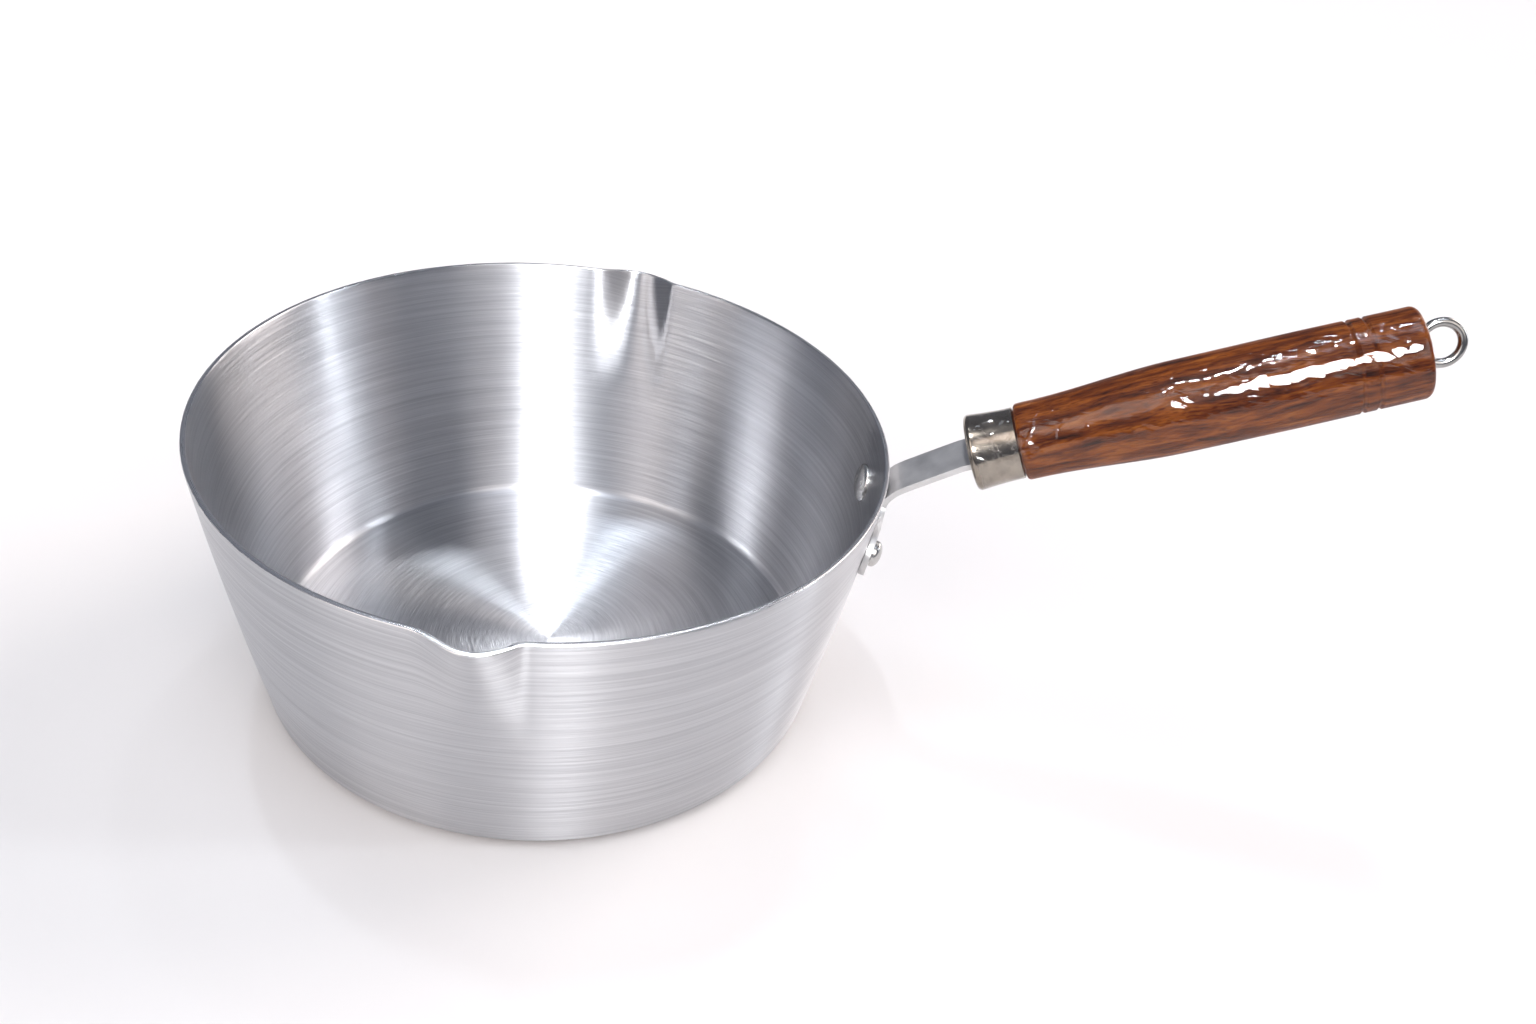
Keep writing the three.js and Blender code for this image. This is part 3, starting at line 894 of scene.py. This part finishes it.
# softboxes on the sky, in degrees: turn from +X and halfTurn to each side of it, low to high above
# the horizon, soft for the width of their edges; the narrow ones make the thin streaks
softboxes = [
    {"turn": 295, "halfTurn": 22, "low": 22, "high": 62, "soft": 5, "glow": 1.5, "tint": "#FFF6F2"},
    {"turn": 229, "halfTurn": 16, "low": 8, "high": 60, "soft": 5, "glow": 1.7, "tint": "#FFF6F2"},
    {"turn": 38, "halfTurn": 18, "low": 8, "high": 50, "soft": 5, "glow": 3.9, "tint": "#FFF5F0"},
    {"turn": 95, "halfTurn": 5, "low": 58, "high": 74, "soft": 4, "glow": 1.8, "tint": "#FFF8F6"},
    {"turn": 0, "halfTurn": 190, "low": 78, "high": 100, "soft": 4, "glow": 2.4, "tint": "#E6EFFF"},
    {"turn": 123, "halfTurn": 2.2, "low": 65, "high": 71, "soft": 0.8, "glow": 70,
     "tint": "#EAF4FF"},
    {"turn": 82, "halfTurn": 1, "low": 55, "high": 60, "soft": 0.6, "glow": 70, "tint": "#F4F9FF"},
    {"turn": 4, "halfTurn": 1, "low": 8, "high": 45, "soft": 0.6, "glow": 24, "tint": "#F4F9FF"},
]


def addLamp(name, spot, aim, size, watts, shows):
    bpy.ops.object.light_add(type="AREA", location=spot)
    lamp = bpy.context.object
    lamp.name = name
    lamp.data.shape = "DISK"
    lamp.data.size = size
    lamp.data.energy = watts
    lamp.rotation_euler = (Vector(aim) - Vector(spot)).to_track_quat("-Z", "Y").to_euler()
    lamp.visible_glossy = shows
    lamp.visible_diffuse = not shows


for lamp in lamps:
    addLamp(**lamp)

bpy.ops.object.select_all(action="DESELECT")
bpy.ops.mesh.primitive_plane_add(size=studio["floor"], location=(0, 0, 0))
floor = bpy.context.object
floor.name = "floor"
# matte white background paper, which scatters all but a little of the light
paper = startFinish("matteWhitePaper", Base_Color=srgb("#F3F1F0"), Roughness=0.9,
                    Specular_IOR_Level=0.1)
giveFinish(floor, paper[0])

world = bpy.data.worlds.new("studio")
bpy.context.scene.world = world
world.use_nodes = True
sky = world.node_tree
backdrop = next(node for node in sky.nodes if node.type == "BACKGROUND")
direction = addNode(sky, "ShaderNodeTexCoord").outputs["Generated"]
split = addNode(sky, "ShaderNodeSeparateXYZ", {0: direction})
level = addNode(sky, "ShaderNodeVectorMath", {0: direction, 1: (1, 1, 0)}, operation="MULTIPLY")
level = addNode(sky, "ShaderNodeVectorMath", {0: level.outputs[0]}, operation="NORMALIZE")
rise = addNode(sky, "ShaderNodeMath", {0: split.outputs["Z"]}, operation="ARCSINE")
light = addNode(sky, "ShaderNodeRGB").outputs[0]
light.default_value = srgb(studio["sky"])
for box in softboxes:
    turn = math.radians(box["turn"])
    toBox = addNode(sky, "ShaderNodeVectorMath", {0: level.outputs[0],
                                                  1: (math.cos(turn), math.sin(turn), 0)},
                    operation="DOT_PRODUCT")
    offset = addNode(sky, "ShaderNodeMath", {0: toBox.outputs["Value"]}, operation="ARCCOSINE")
    # the box is inside halfTurn and high, so those edges fall, and outside low, so that one rises
    edges = [(offset, box["halfTurn"], -box["soft"]), (rise, box["low"], box["soft"]),
             (rise, box["high"], -box["soft"])]
    mask = 1
    for measure, edge, soft in edges:
        side = addNode(sky, "ShaderNodeMapRange", interpolation_type="SMOOTHSTEP",
                       inputs={0: measure.outputs[0], 1: math.radians(edge - soft),
                               2: math.radians(edge + soft), 3: 0, 4: 1})
        mask = addNode(sky, "ShaderNodeMath", {0: mask, 1: side.outputs[0]},
                       operation="MULTIPLY").outputs[0]
    glow = [part * box["glow"] for part in srgb(box["tint"])[:3]] + [1]
    light = addNode(sky, "ShaderNodeMix", {0: mask, 6: light, 7: glow}, clamp_factor=True,
                    data_type="RGBA").outputs[2]
sky.links.new(light, backdrop.inputs["Color"])
backdrop.inputs["Strength"].default_value = studio["skyStrength"]
bpy.context.scene.view_settings.view_transform = "Standard"

camera = {  # turn in degrees, lens in millimetres
    "spot": Vector((62.32, -331.57, 303.43)) * mm,
    "turn": (51.87, -8.773, 1.977),
    "lens": 31.03,
    "shift": (-0.0455, 0.0376),
}
bpy.ops.object.camera_add(location=camera["spot"])
viewer = bpy.context.object
viewer.rotation_euler = [math.radians(turn) for turn in camera["turn"]]
viewer.data.lens = camera["lens"]
viewer.data.shift_x, viewer.data.shift_y = camera["shift"]
viewer.data.clip_start = 0.01
bpy.context.scene.camera = viewer
print("studio done")
